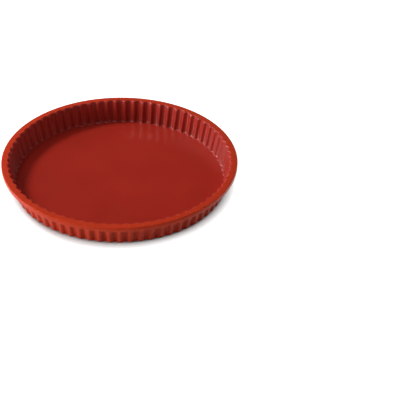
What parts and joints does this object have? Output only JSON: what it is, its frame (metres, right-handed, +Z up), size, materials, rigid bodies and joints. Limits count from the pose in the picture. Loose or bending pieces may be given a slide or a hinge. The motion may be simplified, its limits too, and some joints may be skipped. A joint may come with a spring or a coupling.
{
  "type": "fluted round cake mould",
  "caption": "Shallow round flan mould of flexible silicone with a fluted wall, a flat base and a stiffening ring seated in a groove under its rim.",
  "frame": {"origin": "middle of the underside of the base, on the surface that the mould stands on", "axes": "+Z up out of the open side, along the axis of the round wall; +X through the tip of one ridge between two flutes"},
  "size_m": [0.28, 0.28, 0.03],
  "materials": {
    "silicone": "satin",
    "ring_plastic": "matte"
  },
  "bodies": {
    "root": {"mould": "silicone", "support_ring": "ring_plastic"}
  },
  "joints": []
}
